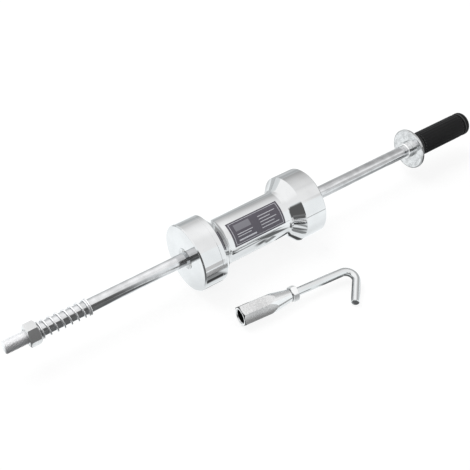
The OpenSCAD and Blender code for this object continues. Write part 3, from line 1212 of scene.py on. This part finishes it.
@dataclass
class Hammer:
    """The sliding hammer with its guide bushes and its label."""

    start: float = 225.0
    head_radius: float = 41.5
    head_length: float = 31.2
    shoulder: float = 12.3
    neck_radius: float = 28.0
    neck_length: float = 89.5
    bevel: float = 1.5
    bevel_round: float = 0.5
    shoulder_break: float = 0.8
    break_round: float = 0.4
    root: float = 8.0
    mark_at: float = 24.8
    mark: float = 0.15
    mouth_radius: float = 13.5
    seat_radius: float = 10.5
    seat_length: float = 26.0
    relief_radius: float = 8.75
    bore_radius: float = 8.03
    push_gap: float = 0.05
    lead_in: float = 0.4
    bush_round: float = 0.2
    label_radius: float = 28.05
    label_thickness: float = 0.2
    label_length: float = 72.5
    label_width: float = 30.0
    label_angle: float = 131.0
    label_steps: int = 24
    sides: int = 192

    @property
    def length(self) -> float:
        """Whole length of the hammer."""
        return 2 * (self.head_length + self.shoulder) + self.neck_length

    def build(self) -> None:
        """Builds and dresses every piece of the hammer."""
        self._body()
        self._bushes()
        self._label()

    def _half(self) -> list[Corner]:
        """Gives the outer outline of the front half, from the bore's seat to the neck.

        Returns:
            Corners measured from the front face.
        """
        r, head, nick = self.head_radius, self.head_length, self.shoulder_break
        mouth = self.mouth_radius - self.seat_radius
        return [
            (mouth + self.seat_length, self.relief_radius, 0),
            (mouth + self.seat_length, self.seat_radius, 0),
            (mouth, self.seat_radius, 0), (0, self.mouth_radius, self.bush_round),
            (0, r - self.bevel, self.bevel_round), (self.bevel, r, self.bevel_round),
            (head - nick, r, self.break_round), (head, r - nick, self.break_round),
            (head + self.shoulder, self.neck_radius, self.root),
        ]

    def _body(self) -> None:
        """Builds the turned body."""
        half = self._half()
        at, r = self.mark_at, self.head_radius
        line = [(at - self.mark, r, 0), (at, r - self.mark, 0), (at + self.mark, r, 0)]
        front = [(self.start + x, y, a) for x, y, a in half[:6] + line + half[6:]]
        rear = [(self.start + self.length - x, y, a) for x, y, a in reversed(half)]
        body = lathe("hammer_turned_body", front + rear, sides=self.sides)
        dress(body, CHROME, Body.HAMMER, Slot.HAMMER, "hammer_body")

    def _bushes(self) -> None:
        """Builds the guide bush in each mouth."""
        mouth, edge = self.mouth_radius - self.seat_radius, self.bush_round
        outer = self.seat_radius - self.push_gap
        for name, node, first, sign in (
            ("front_bush_ring", "front_guide_bush", self.start + mouth, 1),
            ("rear_bush_ring", "rear_guide_bush", self.start + self.length - mouth, -1),
        ):
            last = first + sign * self.seat_length
            rounds = (self.lead_in, edge, edge, edge)
            bush = ring(name, first, last, self.bore_radius, outer, rounds)
            dress(bush, SINTER, Body.BUSHES, Slot.BUSH, node)

    def _label(self) -> None:
        """Builds the label foil, bent round the neck."""
        arc, middle = self.label_width / self.label_radius, math.radians(self.label_angle)
        angles = middle + np.linspace(-arc / 2, arc / 2, self.label_steps + 1)
        centre, half = self.start + self.length / 2, self.label_length / 2
        ends = np.array([centre - half, centre + half])
        inner, outer = self.label_radius, self.label_radius + self.label_thickness

        def grid(radii: list[float], along: np.ndarray, bends: np.ndarray) -> np.ndarray:
            """Gives points for every radius, distance and angle.

            Args:
                radii: Distances from the axis.
                along: Distances along the axis.
                bends: Angles round the axis.

            Returns:
                The points, with one row for each radius and distance.
            """
            out = np.stack([0 * bends, np.cos(bends), np.sin(bends)], 1)
            rows = [(x, 0, 0) + radius * out for radius in radii for x in along]
            return np.array(rows)

        skin = Skin()
        for side, radius in ((-1.0, inner), (1.0, outer)):
            points = grid([radius], ends, angles)
            skin.patch(points, side * points * [0.0, 1.0, 1.0] / radius)
        for side, pick in ((-1.0, 0), (1.0, -1)):
            points = grid([inner, outer], ends[pick, None], angles)
            skin.patch(points, np.broadcast_to([side, 0.0, 0.0], points.shape))
            edge = angles[pick]
            points = grid([inner, outer], ends, edge[None]).reshape(2, 2, 3)
            skin.patch(points, np.broadcast_to(
                [0.0, -side * math.sin(edge), side * math.cos(edge)], points.shape
            ))
        print_ = LabelFoil(
            "label_foil_print", centre * MM, self.label_length * MM, middle, inner * MM,
            self.label_width * MM,
        )
        dress(skin.mesh("label_foil_sheet"), print_, Body.HAMMER, Slot.LABEL, "hammer_label")


@dataclass
class Handle:
    """The handle sleeve with its guard disc and rubber grip."""

    start: float = 567.5
    lead: float = 7.5
    lip: float = 2.0
    lip_round: float = 1.2
    sleeve_radius: float = 10.65
    spigot_radius: float = 6.55
    sleeve_end: float = 656.5
    disc_radius: float = 26.5
    disc_thickness: float = 4.0
    disc_round: float = 0.8
    disc_bevel: float = 1.5
    disc_drop: float = 0.7
    disc_drop_round: float = 0.4
    disc_sides: int = 160
    push_gap: float = 0.05
    grip_radius: float = 15.5
    grip_length: float = 97.0
    ring_height: float = 0.5
    ring_length: float = 7.0
    ring_rounds: tuple[float, float] = (1.0, 1.4)
    groove_depth: float = 1.7
    groove_width: float = 2.0
    groove_round: float = 0.5
    shoulder_round: float = 0.7
    core_slope: float = 0.9
    core_gap: float = 0.02
    collar_length: float = 3.4
    cap_length: float = 8.0
    cap_round: float = 3.6
    cap_wall: float = 4.5
    vent_radius: float = 1.5
    edge_highlight_shifts: tuple[float, ...] = (-0.7, 0.6, -0.6, 0.8, 0.5)
    flute_depth: float = 0.32
    flute_gap: float = 0.4
    flute_ease: float = 2.0
    flute_taper: float = 0.35
    flutes: int = 24
    flute_rows: int = 24
    flute_sides: int = 12
    seat_round: float = 0.4
    edge_round: float = 0.3
    slight_round: float = 0.2

    @property
    def grip_start(self) -> float:
        """Where the grip starts, behind the disc."""
        return self.start + self.lead + self.disc_thickness

    def build(self) -> None:
        """Builds and dresses every piece of the handle."""
        self._sleeve()
        self._disc()
        self._grip()
        self._flutes()

    def _sleeve(self) -> None:
        """Builds the sleeve on the shaft's spigot."""
        sleeve = ring(
            "handle_sleeve_tube", self.start, self.sleeve_end, self.spigot_radius,
            self.sleeve_radius, (0, self.lip_round, self.slight_round, 0),
        )
        dress(sleeve, SLEEVE, Body.SHAFT, Slot.SHAFT, "handle_sleeve")
        # The sleeve's lip gets the pale painted-highlight metal
        sleeve.data.materials.append(PAINTED_HIGHLIGHT.make())
        for face in sleeve.data.polygons:
            face.material_index = int(face.center.x < (self.start + self.lip) * MM)

    def _disc(self) -> None:
        """Builds the guard disc."""
        first, r = self.start + self.lead, self.disc_radius
        last, inner = self.grip_start, self.sleeve_radius + self.push_gap
        disc = lathe("guard_disc_plate", [
            (first, inner, self.edge_round), (first, r - self.disc_bevel, self.slight_round),
            (first + self.disc_drop, r, self.disc_drop_round), (last, r, self.disc_round),
            (last, inner, self.edge_round),
        ], sides=self.disc_sides)
        dress(disc, TURNED, Body.SHAFT, Slot.DISC, "guard_disc")

    def _grip(self) -> None:
        """Builds the grip's rings, grooves, cap and bore."""
        at, r = self.grip_start, self.grip_radius
        soft, nick, vent = self.shoulder_round, self.groove_round, self.vent_radius
        core, low = r - self.flute_depth - self.core_gap, r - self.groove_depth
        high, inner = r + self.ring_height, self.sleeve_radius + self.push_gap
        ring_end, end = at + self.ring_length, at + self.grip_length
        first = ring_end + self.groove_width
        second = first + self.collar_length
        barrel, cap = second + self.groove_width, end - self.cap_length
        last, floor, slope = cap - self.groove_width, end - self.cap_wall, self.core_slope
        grip = lathe("grip_shell", [
            (at, inner, self.seat_round), (at, high, self.ring_rounds[0]),
            (ring_end, high, self.ring_rounds[1]), (ring_end, low, nick), (first, low, nick),
            (first, r, soft), (second, r, soft), (second, low, nick), (barrel, low, nick),
            (barrel + slope, core, self.edge_round), (last - slope, core, self.edge_round),
            (last, low, nick), (cap, low, nick), (cap, r, soft), (end, r, self.cap_round),
            (end, vent, nick), (floor, vent, 0), (floor, inner, 0),
        ])
        # Painted highlight lines go beside the edges of the ring, the grooves and the cap
        edges = zip((ring_end, first, second, barrel, cap), self.edge_highlight_shifts)
        rubber = replace(BLACK_RUBBER, edge_highlights_at=tuple(edge + shift for edge, shift in edges))
        dress(grip, rubber, Body.SHAFT, Slot.GRIP, "rubber_grip")

    def _flutes(self) -> None:
        """Builds the fluted barrel of the grip by rule."""
        first = self.grip_start + self.ring_length + self.collar_length
        first += 2 * self.groove_width + self.flute_gap
        last = self.grip_start + self.grip_length - self.cap_length
        last -= self.groove_width + self.flute_gap
        formula = Formula("flute_rule", {
            "Start": first * MM, "End": last * MM, "Radius": self.grip_radius * MM,
            "Depth": self.flute_depth * MM, "Flutes": self.flutes, "Rows": self.flute_rows,
            "Columns": self.flute_sides * self.flutes, "Ease": self.flute_ease * MM,
            "Wall": self.core_slope * MM,
        })
        size = formula.size
        rows = size("Rows")
        grid, row, share = formula.sheet(rows, size("Columns"))
        run = ((row - 2) / (rows - 4)).max(0.0).min(1.0)
        along = size("Start") + (size("End") - size("Start")) * run
        near = (along - size("Start")).min(size("End") - along) / size("Ease")
        wave = (1 - (share * size("Flutes") * TAU).cos()) * 0.5
        radius = size("Radius") - wave * size("Depth")
        radius = radius - (1 - near.min(1.0)) * size("Wall") * self.flute_taper
        ends = (row < 1.5) + (row > rows - 1.5)
        around = formula.wrap(grid, along, radius - ends * size("Wall"), share)
        made = formula.make("grip_flutes", around, BLACK_RUBBER.make())
        dress(made, BLACK_RUBBER, Body.SHAFT, Slot.GRIP)


@dataclass
class HookAttachment:
    """The loose hook: coupling, lock nut and bent rod."""

    at: float = 239.0
    aside: float = 87.2
    height: float = -29.381
    yaw: float = 5.7
    coupling_across: float = 22.2
    coupling_length: float = 66.3
    coupling_corner: float = 0.7
    hex_length: float = 44.0
    neck_radius: float = 7.2
    neck_chamfer: float = 0.9
    socket_radius: float = 8.01
    socket_depth: float = 32.0
    socket_chamfer: float = 1.2
    roll: float = 11.0
    rod_radius: float = 5.0
    rod_start: float = 44.3
    reach: float = 137.5
    bend_radius: float = 11.3
    bend_turn: float = 127.0
    leg: float = 30.8
    rod_chamfer: float = 0.6
    rod_round: float = 0.3
    rod_step: float = 0.8
    rod_sides: int = 96
    edge_round: float = 0.2
    thin: float = 0.1
    droop: float = 9.658
    lock_across: float = 17.0
    lock_length: float = 8.0
    lock_turn: float = 20.0
    thread_gap: float = 0.06

    def place(self, along: float = 0.0, roll: float = 0.0) -> Matrix:
        """Gives the place of something drawn along X from the coupling's mouth.

        Args:
            along: Shift along the coupling's axis in millimetres.
            roll: Roll about that axis in degrees.

        Returns:
            The place, in metres.
        """
        shift = Vector((self.at, -self.aside, self.height)) * MM
        turn = Matrix.Rotation(math.radians(-self.yaw), 4, "Z")
        spin = Matrix.Rotation(math.radians(roll), 4, "X")
        return Matrix.Translation(shift) @ turn @ Matrix.Translation((along * MM, 0, 0)) @ spin

    def build(self) -> None:
        """Builds and dresses every piece of the hook."""
        self._coupling()
        hole = self.rod_radius + self.thread_gap
        lock = Nut(
            "lock_nut_hex", "hook_lock_nut", self.lock_across, self.lock_length, hole,
            self.lock_turn,
        )
        lock.build(self.place(self.coupling_length), Body.COUPLING)
        self._rod()

    def _coupling(self) -> None:
        """Builds the tapered hexagonal coupling."""
        lip, neck = self.neck_chamfer, self.neck_radius
        flat, end = self.coupling_across / 2, self.coupling_length - lip
        face, taper = FACE_SHARE * flat, (end - self.hex_length) / (flat - neck)
        bar = HexBar(
            self.coupling_across, end, self.roll, face, neck, rear_rise=taper,
            corner=self.coupling_corner,
        )
        hole, rod, edge = self.socket_radius, self.rod_radius + self.thread_gap, self.socket_chamfer
        skin = Skin()
        bar.fill(skin, [
            (end, neck, 0), (end + lip, neck - lip, self.edge_round), (end + lip, rod, 0),
            (self.socket_depth, rod, 0), (self.socket_depth, hole, 0), (edge, hole, 0),
            (0, hole + edge, 0), (0, face, 0),
        ])
        coupling = skin.mesh("coupling_bar", self.place())
        dress(coupling, SATIN, Body.COUPLING, Slot.COUPLING, "hook_coupling")
        # The taper gets its own turned finish, the mouth face the painted-highlight metal, and the
        # front chamfers and socket the painted-shade metal
        for finish in (TAPER, PAINTED_HIGHLIGHT, PAINTED_SHADE):
            coupling.data.materials.append(finish.make())
        coupling.data.polygons.foreach_set("material_index", skin.kinds)
        back = self.place().inverted()
        for facet in coupling.data.polygons:
            spot = back @ facet.center / MM
            out = math.hypot(spot.y, spot.z)
            if spot.x < self.thin and out < face:
                facet.material_index = Face.MOUTH
            elif spot.x < self.socket_depth and out < hole + self.thin:
                facet.material_index = Face.SOCKET

    def _rod(self) -> None:
        """Builds the bent rod."""
        r, nick, turn = self.rod_radius, self.rod_chamfer, math.radians(self.bend_turn)
        first, last = self.rod_start, self.reach + self.bend_radius * turn + self.leg
        stretches = outline([
            (first, 0, 0), (first, r - nick, self.edge_round), (first + nick, r, self.rod_round),
            (last - nick, r, self.rod_round), (last, r - nick, self.edge_round), (last, 0, 0),
        ], closed=False)
        skin = Skin()
        path = Path(self.reach, self.bend_radius, turn)
        skin.turned([s.dense(self.rod_step) for s in stretches], full_turn(self.rod_sides), path)
        rod = skin.mesh("hook_bent_rod", self.place(roll=self.droop))
        dress(rod, ROD, Body.HOOK, Slot.ROD, "hook_rod")


@dataclass(frozen=True)
class Patch:
    """A soft-edged patch of the ground, in metres, as polished metal mirrors it; dark patches are
    painted shade and bright ones painted light.
    """

    left: float
    right: float
    near: float
    far: float
    level: float
    blur: float = 0.006
    slant: float = 0.0

    def over(self, x: Value, y: Value, level: Value) -> Value:
        """Lays the patch over what is there.

        Args:
            x: Place along X.
            y: Place along Y.
            level: Radiance of what is there.

        Returns:
            The radiance with the patch.
        """
        across, deep = (
            place.band((low - self.blur, low + self.blur), (high - self.blur, high + self.blur))
            for place, low, high in (
                (x, self.left, self.right), (y - x * self.slant, self.near, self.far)
            )
        )
        return level.towards(self.level, across * deep)


CONE_SLANT, NECK_SLANT = -0.7778, -0.0998

GROUND_PATCHES = (
    # Beyond the puller
    Patch(0.385, 9.0, 0.06, 9.0, 0.64, 0.03),
    Patch(-9.0, 9.0, 0.28, 9.0, 0.78, 0.05),
    # Painted light before the hammer's front face and the guard disc
    Patch(0.165, 0.23, 0.002, 0.09, 1.42, 0.01),
    Patch(0.495, 0.563, -0.012, 0.08, 1.1),
    # Painted shade between the hammer and the coupling, and beside the grip
    Patch(0.29, 0.31, -0.094, -0.07, 0.06, 0.004),
    Patch(0.238, 0.27, -0.088, -0.066, 0.4, 0.004),
    Patch(0.238, 0.27, -0.066, -0.0485, 0.08, 0.004),
    Patch(0.6, 0.67, -0.11, -0.03, 0.1, 0.005),
    # Strips of painted shade, with one of painted light, that the rear cone and the neck mirror as
    # lines
    Patch(0.328, 0.347, 0.2, 0.218, 0.22, 0.006, CONE_SLANT),
    Patch(0.338, 0.357, 0.218, 0.2345, 0.4, 0.002, CONE_SLANT),
    Patch(0.345, 0.368, 0.2355, 0.2535, 1.45, 0.002, CONE_SLANT),
    Patch(0.352, 0.372, 0.2545, 0.268, 0.12, 0.002, CONE_SLANT),
    Patch(0.31, 0.372, -0.0523, -0.0403, 0.42, 0.004, NECK_SLANT),
    # Painted shade between the rear head and the hook
    Patch(0.35, 0.383, -0.13, -0.062, 0.22, 0.005),
    Patch(0.353, 0.366, -0.151, -0.14, 0.18, 0.003),
    Patch(0.383, 0.402, -0.14, -0.112, 0.6, 0.005),
    # Painted shadow under the hammer
    Patch(0.26, 0.352, -0.009, 0.02, 0.12, 0.003),
    Patch(0.236, 0.262, -0.027, -0.005, 0.15, 0.003),
    # On the near side of the coupling, the shaft's tip and the handle
    Patch(0.22, 0.242, -0.142, -0.108, 0.25, 0.006),
    Patch(-0.1, 0.05, -0.32, -0.225, 0.33, 0.02),
    Patch(0.45, 9.0, -0.36, -0.28, 0.72, 0.01),
)


@dataclass(frozen=True)
class Card:
    """An upright dim card with soft edges, from its middle, that only polished metal sees."""

    name: str
    middle: tuple[float, float, float]
    across: float
    tall: float
    fade: float
    level: float

    def stand(self) -> None:
        """Stands the card in the studio."""
        material = bpy.data.materials.new(self.name)
        tree, fade = bare(material), self.fade
        u, v, _ = tree.parts(tree.node("ShaderNodeUVMap").outputs[0])
        u, v = u * self.across, v * self.tall
        soft = (
            (u + self.across).smooth(0.0, fade) * (self.across - u).smooth(0.0, fade)
            * (v + self.tall).smooth(0.0, fade) * (self.tall - v).smooth(0.0, fade)
        )
        dim = tree.node("ShaderNodeEmission", Color=(self.level,) * 3, Strength=1.0)
        clear = tree.node("ShaderNodeBsdfTransparent")
        seen = tree.join("ShaderNodeMixShader", clear, dim, Fac=soft)
        tree.node("ShaderNodeOutputMaterial", Surface=seen.outputs[0])
        hide(plane(self.name, self.middle, (self.across, 0, 0), (0, 0, self.tall), material))


CARDS = (
    Card("dim_card_facet", (0.26, -0.16, -0.02), 0.05, 0.02, 0.006, 0.85),
    Card("dim_card_sleeve", (0.668, -0.1, 0.005), 0.036, 0.046, 0.004, 0.08),
    Card("dim_card_front", (-0.07, -0.2, 0.085), 0.36, 0.175, 0.1, 0.15),
    Card("dim_card_side", (0.95, -0.3, 0.15), 0.37, 0.22, 0.1, 0.8),
    Card("dim_card_hook", (0.288, -0.119, -0.0355), 0.05, 0.0065, 0.004, 0.3),
)


@dataclass(frozen=True)
class Sky:
    """How bright the surroundings look in mirrored metal, by direction."""

    level: float = 1.35
    # Darker behind the handle
    handle_edge: Edge = (0.75, 0.98)
    handle_drop: float = 0.5
    # Darker low down on the far side, by a drop that changes towards the handle
    far_aside: Edge = (-0.3, 0.5)
    far_up: Edge = (0.1, 0.6)
    far_drop: float = 0.3
    far_deeper: Edge = (-0.2, 0.5)
    far_deepening: float = 0.43
    far_lighter: Edge = (0.55, 0.7)
    far_lightening: float = 0.55
    # Dim in front on the near side, up to a leaning edge
    dim_ahead: Edge = (-0.5, -0.15)
    dim_aside: Edge = (-0.1, 0.3)
    dim_up: Edge = (0.2, 0.32)
    dim_lean: float = 0.3
    dim_level: float = 0.15

    def radiance(self, ahead: Value, aside: Value, up: Value) -> Value:
        """Gives the radiance in a direction.

        Args:
            ahead: How far the direction goes towards the handle.
            aside: How far it goes towards the far side.
            up: How far it goes up.

        Returns:
            The radiance.
        """
        dim = ahead.fall(*self.dim_ahead) * aside.fall(*self.dim_aside)
        dim = dim * (up + aside * self.dim_lean).fall(*self.dim_up)
        low = aside.smooth(*self.far_aside) * up.fall(*self.far_up)
        deeper = ahead.smooth(*self.far_deeper) * self.far_deepening
        drop = deeper - ahead.smooth(*self.far_lighter) * self.far_lightening + self.far_drop
        level = self.level - low * drop - ahead.smooth(*self.handle_edge) * self.handle_drop
        return level.towards(self.dim_level, dim)


@dataclass(frozen=True)
class Ground:
    """How bright the floor looks in mirrored metal, by its place in metres."""

    level: float = 1.32
    # Brighter past the hook
    hook_along: Edge = (0.33, 0.42)
    hook_aside: Edge = (-0.1, -0.05)
    hook_rise: float = 0.14
    # Darker under the handle
    handle_along: Edge = (0.4, 0.56)
    handle_aside: Edge = (-0.16, -0.06)
    handle_drop: float = 0.81
    # A strip of painted shadow beside the spring and shaft
    strip_first: Edge = (-0.22, -0.16)
    strip_last: Edge = (0.19, 0.222)
    strip_level: float = 0.19
    # Its edges away from the shaft and beside it, which steps at the nut
    outer_edge: Edge = (-0.34, -0.24)
    outer_step: Edge = (0.11, 0.16)
    outer_shift: float = 0.3
    inner_edge: Edge = (-0.012, 0.012)
    inner_step: Edge = (0.105, 0.165)
    inner_shift: float = 0.028
    stub_last: Edge = (0.024, 0.034)
    nut_first: Edge = (0.028, 0.035)
    nut_last: Edge = (0.045, 0.053)
    nut_shift: float = 0.02

    def radiance(self, x: Value, y: Value) -> Value:
        """Gives the radiance at a place.

        Args:
            x: Place along X.
            y: Place along Y.

        Returns:
            The radiance.
        """
        hook = x.smooth(*self.hook_along) * y.fall(*self.hook_aside) * self.hook_rise
        handle = x.smooth(*self.handle_along) * y.smooth(*self.handle_aside) * self.handle_drop
        inner = y + x.smooth(*self.inner_step) * self.inner_shift
        inner = inner - x.fall(*self.stub_last) * self.nut_shift
        inner = inner + x.band(self.nut_first, self.nut_last) * self.nut_shift
        outer = y + x.smooth(*self.outer_step) * self.outer_shift
        strip = x.band(self.strip_first, self.strip_last) * outer.smooth(*self.outer_edge)
        strip = strip * inner.fall(*self.inner_edge)
        level = (self.level + hook - handle).towards(self.strip_level, strip)
        for patch in GROUND_PATCHES:
            level = patch.over(x, y, level)
        return level


@dataclass(frozen=True)
class Ceiling:
    """A bright ceiling that only mirrored metal sees, darker towards the handle."""

    middle: tuple[float, float, float] = (0.7, 0.8, 0.8)
    across: float = 2.05
    tall: float = 1.75
    level: float = 1.45
    # Darker on the far side over the hammer and handle, and on the near side
    far_aside: Edge = (0.3, 1.5)
    far_along: Edge = (-0.5, 0.3)
    far_drop: float = 0.45
    near_aside: Edge = (-0.25, 0.15)
    near_drop: float = 0.17
    # The edge towards the handle, bent on both sides
    handle_edge: Edge = (0.55, 1.25)
    handle_level: float = 0.6
    far_bend: float = 0.5
    far_slant: float = 0.25
    near_slant: float = 1.2

    def radiance(self, x: Value, y: Value) -> Value:
        """Gives the radiance at a place.

        Args:
            x: Place along X.
            y: Place along Y.

        Returns:
            The radiance.
        """
        reach = x - (y - self.far_bend).max(0.0) * self.far_slant + y.min(0.0) * self.near_slant
        level = self.level - y.smooth(*self.far_aside) * x.smooth(*self.far_along) * self.far_drop
        level = level - y.fall(*self.near_aside) * self.near_drop
        return level.towards(self.handle_level, reach.smooth(*self.handle_edge))

    def hang(self) -> None:
        """Hangs the ceiling in the studio."""
        material = bpy.data.materials.new("bright_ceiling")
        tree = bare(material)
        x, y, _ = tree.parts(tree.node("ShaderNodeTexCoord").outputs["Object"])
        colour = cool(tree, self.radiance(x, y), 0.0)
        glow = tree.node("ShaderNodeEmission", Color=colour, Strength=1.0)
        tree.node("ShaderNodeOutputMaterial", Surface=glow.outputs[0])
        hide(plane("ceiling", self.middle, (self.across, 0, 0), (0, -self.tall, 0), material))


@dataclass
class Studio:
    """Pale floor, soft light and the bright surroundings that polished metal mirrors."""

    floor_z: float = -0.0415
    floor_reach: float = 12.0
    floor_colour: float = 0.8
    floor_glow: float = 0.82
    floor_shade: float = 0.24
    lamp_place: tuple[float, float, float] = (0.1, 0.8, 1.4)
    lamp_aim: tuple[float, float, float] = (0.32, 0.0, 0.0)
    lamp_size: float = 1.1
    lamp_power: float = 11.0
    ambient: float = 0.62
    lit_share: float = 0.25

    def build(self) -> None:
        """Builds the studio."""
        self._world()
        self._floor()
        Ceiling().hang()
        self._lamp()
        for card in CARDS:
            card.stand()

    def _world(self) -> None:
        """Builds surroundings: white to the eye, graded in mirrored metal, plain as light."""
        world = bpy.data.worlds.new("pale_room")
        tree = bare(world)
        place = tree.node("ShaderNodeTexCoord").outputs["Generated"]
        level = Sky().radiance(*tree.parts(place))
        mirrored = tree.node("ShaderNodeBackground", Color=cool(tree, level), Strength=1.0)
        plain = tree.node("ShaderNodeBackground", Color=1.0, Strength=self.ambient)
        white = tree.node("ShaderNodeBackground", Color=1.0, Strength=1.0)
        tree.node("ShaderNodeOutputWorld", Surface=tree.by_ray(plain, mirrored, white))
        bpy.context.scene.world = world

    def _floor(self) -> None:
        """Builds the floor, with the painted shade and light that the metal mirrors."""
        material = bpy.data.materials.new("pale_floor")
        tree = bare(material)
        x, y, _ = tree.parts(tree.node("ShaderNodeTexCoord").outputs["Object"])
        level = Ground().radiance(x, y)
        lit = tree.node("ShaderNodeBsdfDiffuse", Color=cool(tree, level * self.lit_share))
        own = tree.node(
            "ShaderNodeEmission", Color=cool(tree, level * (1 - self.lit_share)), Strength=1.0
        )
        plain = tree.node("ShaderNodeBsdfDiffuse", Color=(self.floor_colour,) * 3)
        shaded = tree.node("ShaderNodeBsdfDiffuse", Color=(self.floor_shade,) * 3)
        glow = tree.node("ShaderNodeEmission", Color=(self.floor_glow,) * 3, Strength=1.0)
        picked = tree.by_ray(
            plain, tree.join("ShaderNodeAddShader", lit, own),
            tree.join("ShaderNodeAddShader", shaded, glow),
        )
        tree.node("ShaderNodeOutputMaterial", Surface=picked)
        reach = self.floor_reach
        floor = plane("floor", (0, 0, self.floor_z), (reach, 0, 0), (0, reach, 0), material)

    def _lamp(self) -> None:
        """Hangs one large soft lamp above and behind the puller."""
        light = bpy.data.lights.new("soft_lamp", "AREA")
        light.size, light.energy = self.lamp_size, self.lamp_power
        lamp = show(bpy.data.objects.new("soft_lamp", light))
        lamp.location = self.lamp_place
        way = Vector(self.lamp_aim) - Vector(self.lamp_place)
        lamp.rotation_euler = way.to_track_quat("-Z", "Y").to_euler()
        lamp.visible_glossy = False


def cool(tree: Tree, level: Value, share: float = 0.03) -> bpy.types.NodeSocket:
    """Gives a grey of a radiance whose red falls short by a share and whose blue has over."""
    return tree.vector(level * (1 - share), level, level * (1 + share / 3))


def hide(card: bpy.types.Object) -> None:
    """Makes a stage object that only mirrored rays meet."""
    card.visible_camera = card.visible_diffuse = card.visible_shadow = False


def plane(
    name: str, middle: tuple[float, ...], across: tuple[float, ...], tall: tuple[float, ...],
    material: bpy.types.Material,
) -> bpy.types.Object:
    """Makes a flat rectangle with its own UV map.

    Args:
        name: Name of the object.
        middle: Its middle.
        across: From the middle to its right-hand edge.
        tall: From the middle to its upper edge.
        material: Its material.

    Returns:
        The object.
    """
    middle, across, tall = Vector(middle), Vector(across), Vector(tall)
    corners = ((-1, -1), (1, -1), (1, 1), (-1, 1))
    data = bpy.data.meshes.new(name)
    data.from_pydata([middle + u * across + v * tall for u, v in corners], [], [(0, 1, 2, 3)])
    for loop, spot in zip(data.uv_layers.new(name="spread").data, corners):
        loop.uv = spot
    data.materials.append(material)
    return show(bpy.data.objects.new(name, data))


@dataclass
class Viewpoint:
    """The photograph's viewpoint."""

    place: tuple[float, float, float] = (-0.1520, -0.6181, 0.7061)
    forward: tuple[float, float, float] = (0.4298, 0.5941, -0.6799)
    right: tuple[float, float, float] = (0.8102, -0.5861, 0.0)
    lens: float = 67.68
    sensor: float = 36.0
    clip: tuple[float, float] = (0.01, 100.0)

    def build(self) -> None:
        """Sets up the camera."""
        data = bpy.data.cameras.new("viewpoint")
        data.lens, data.sensor_width = self.lens, self.sensor
        data.clip_start, data.clip_end = self.clip
        camera = show(bpy.data.objects.new("viewpoint", data))
        forward, right = Vector(self.forward).normalized(), Vector(self.right).normalized()
        up = right.cross(forward).normalized()
        turn = Matrix((right, up, -forward)).transposed().to_4x4()
        camera.matrix_world = Matrix.Translation(self.place) @ turn
        bpy.context.scene.camera = camera


def main() -> None:
    """Builds the puller, then its studio and viewpoint."""
    bpy.context.scene.view_settings.view_transform = "Standard"
    parts = (ShaftAssembly(), BufferSpring(), Hammer(), Handle(), HookAttachment())
    for part in (*parts, Studio(), Viewpoint()):
        part.build()
        LOG.info("built %s", type(part).__name__)


if __name__ == "__main__":
    logging.basicConfig(level=logging.INFO, format="%(message)s")
    main()
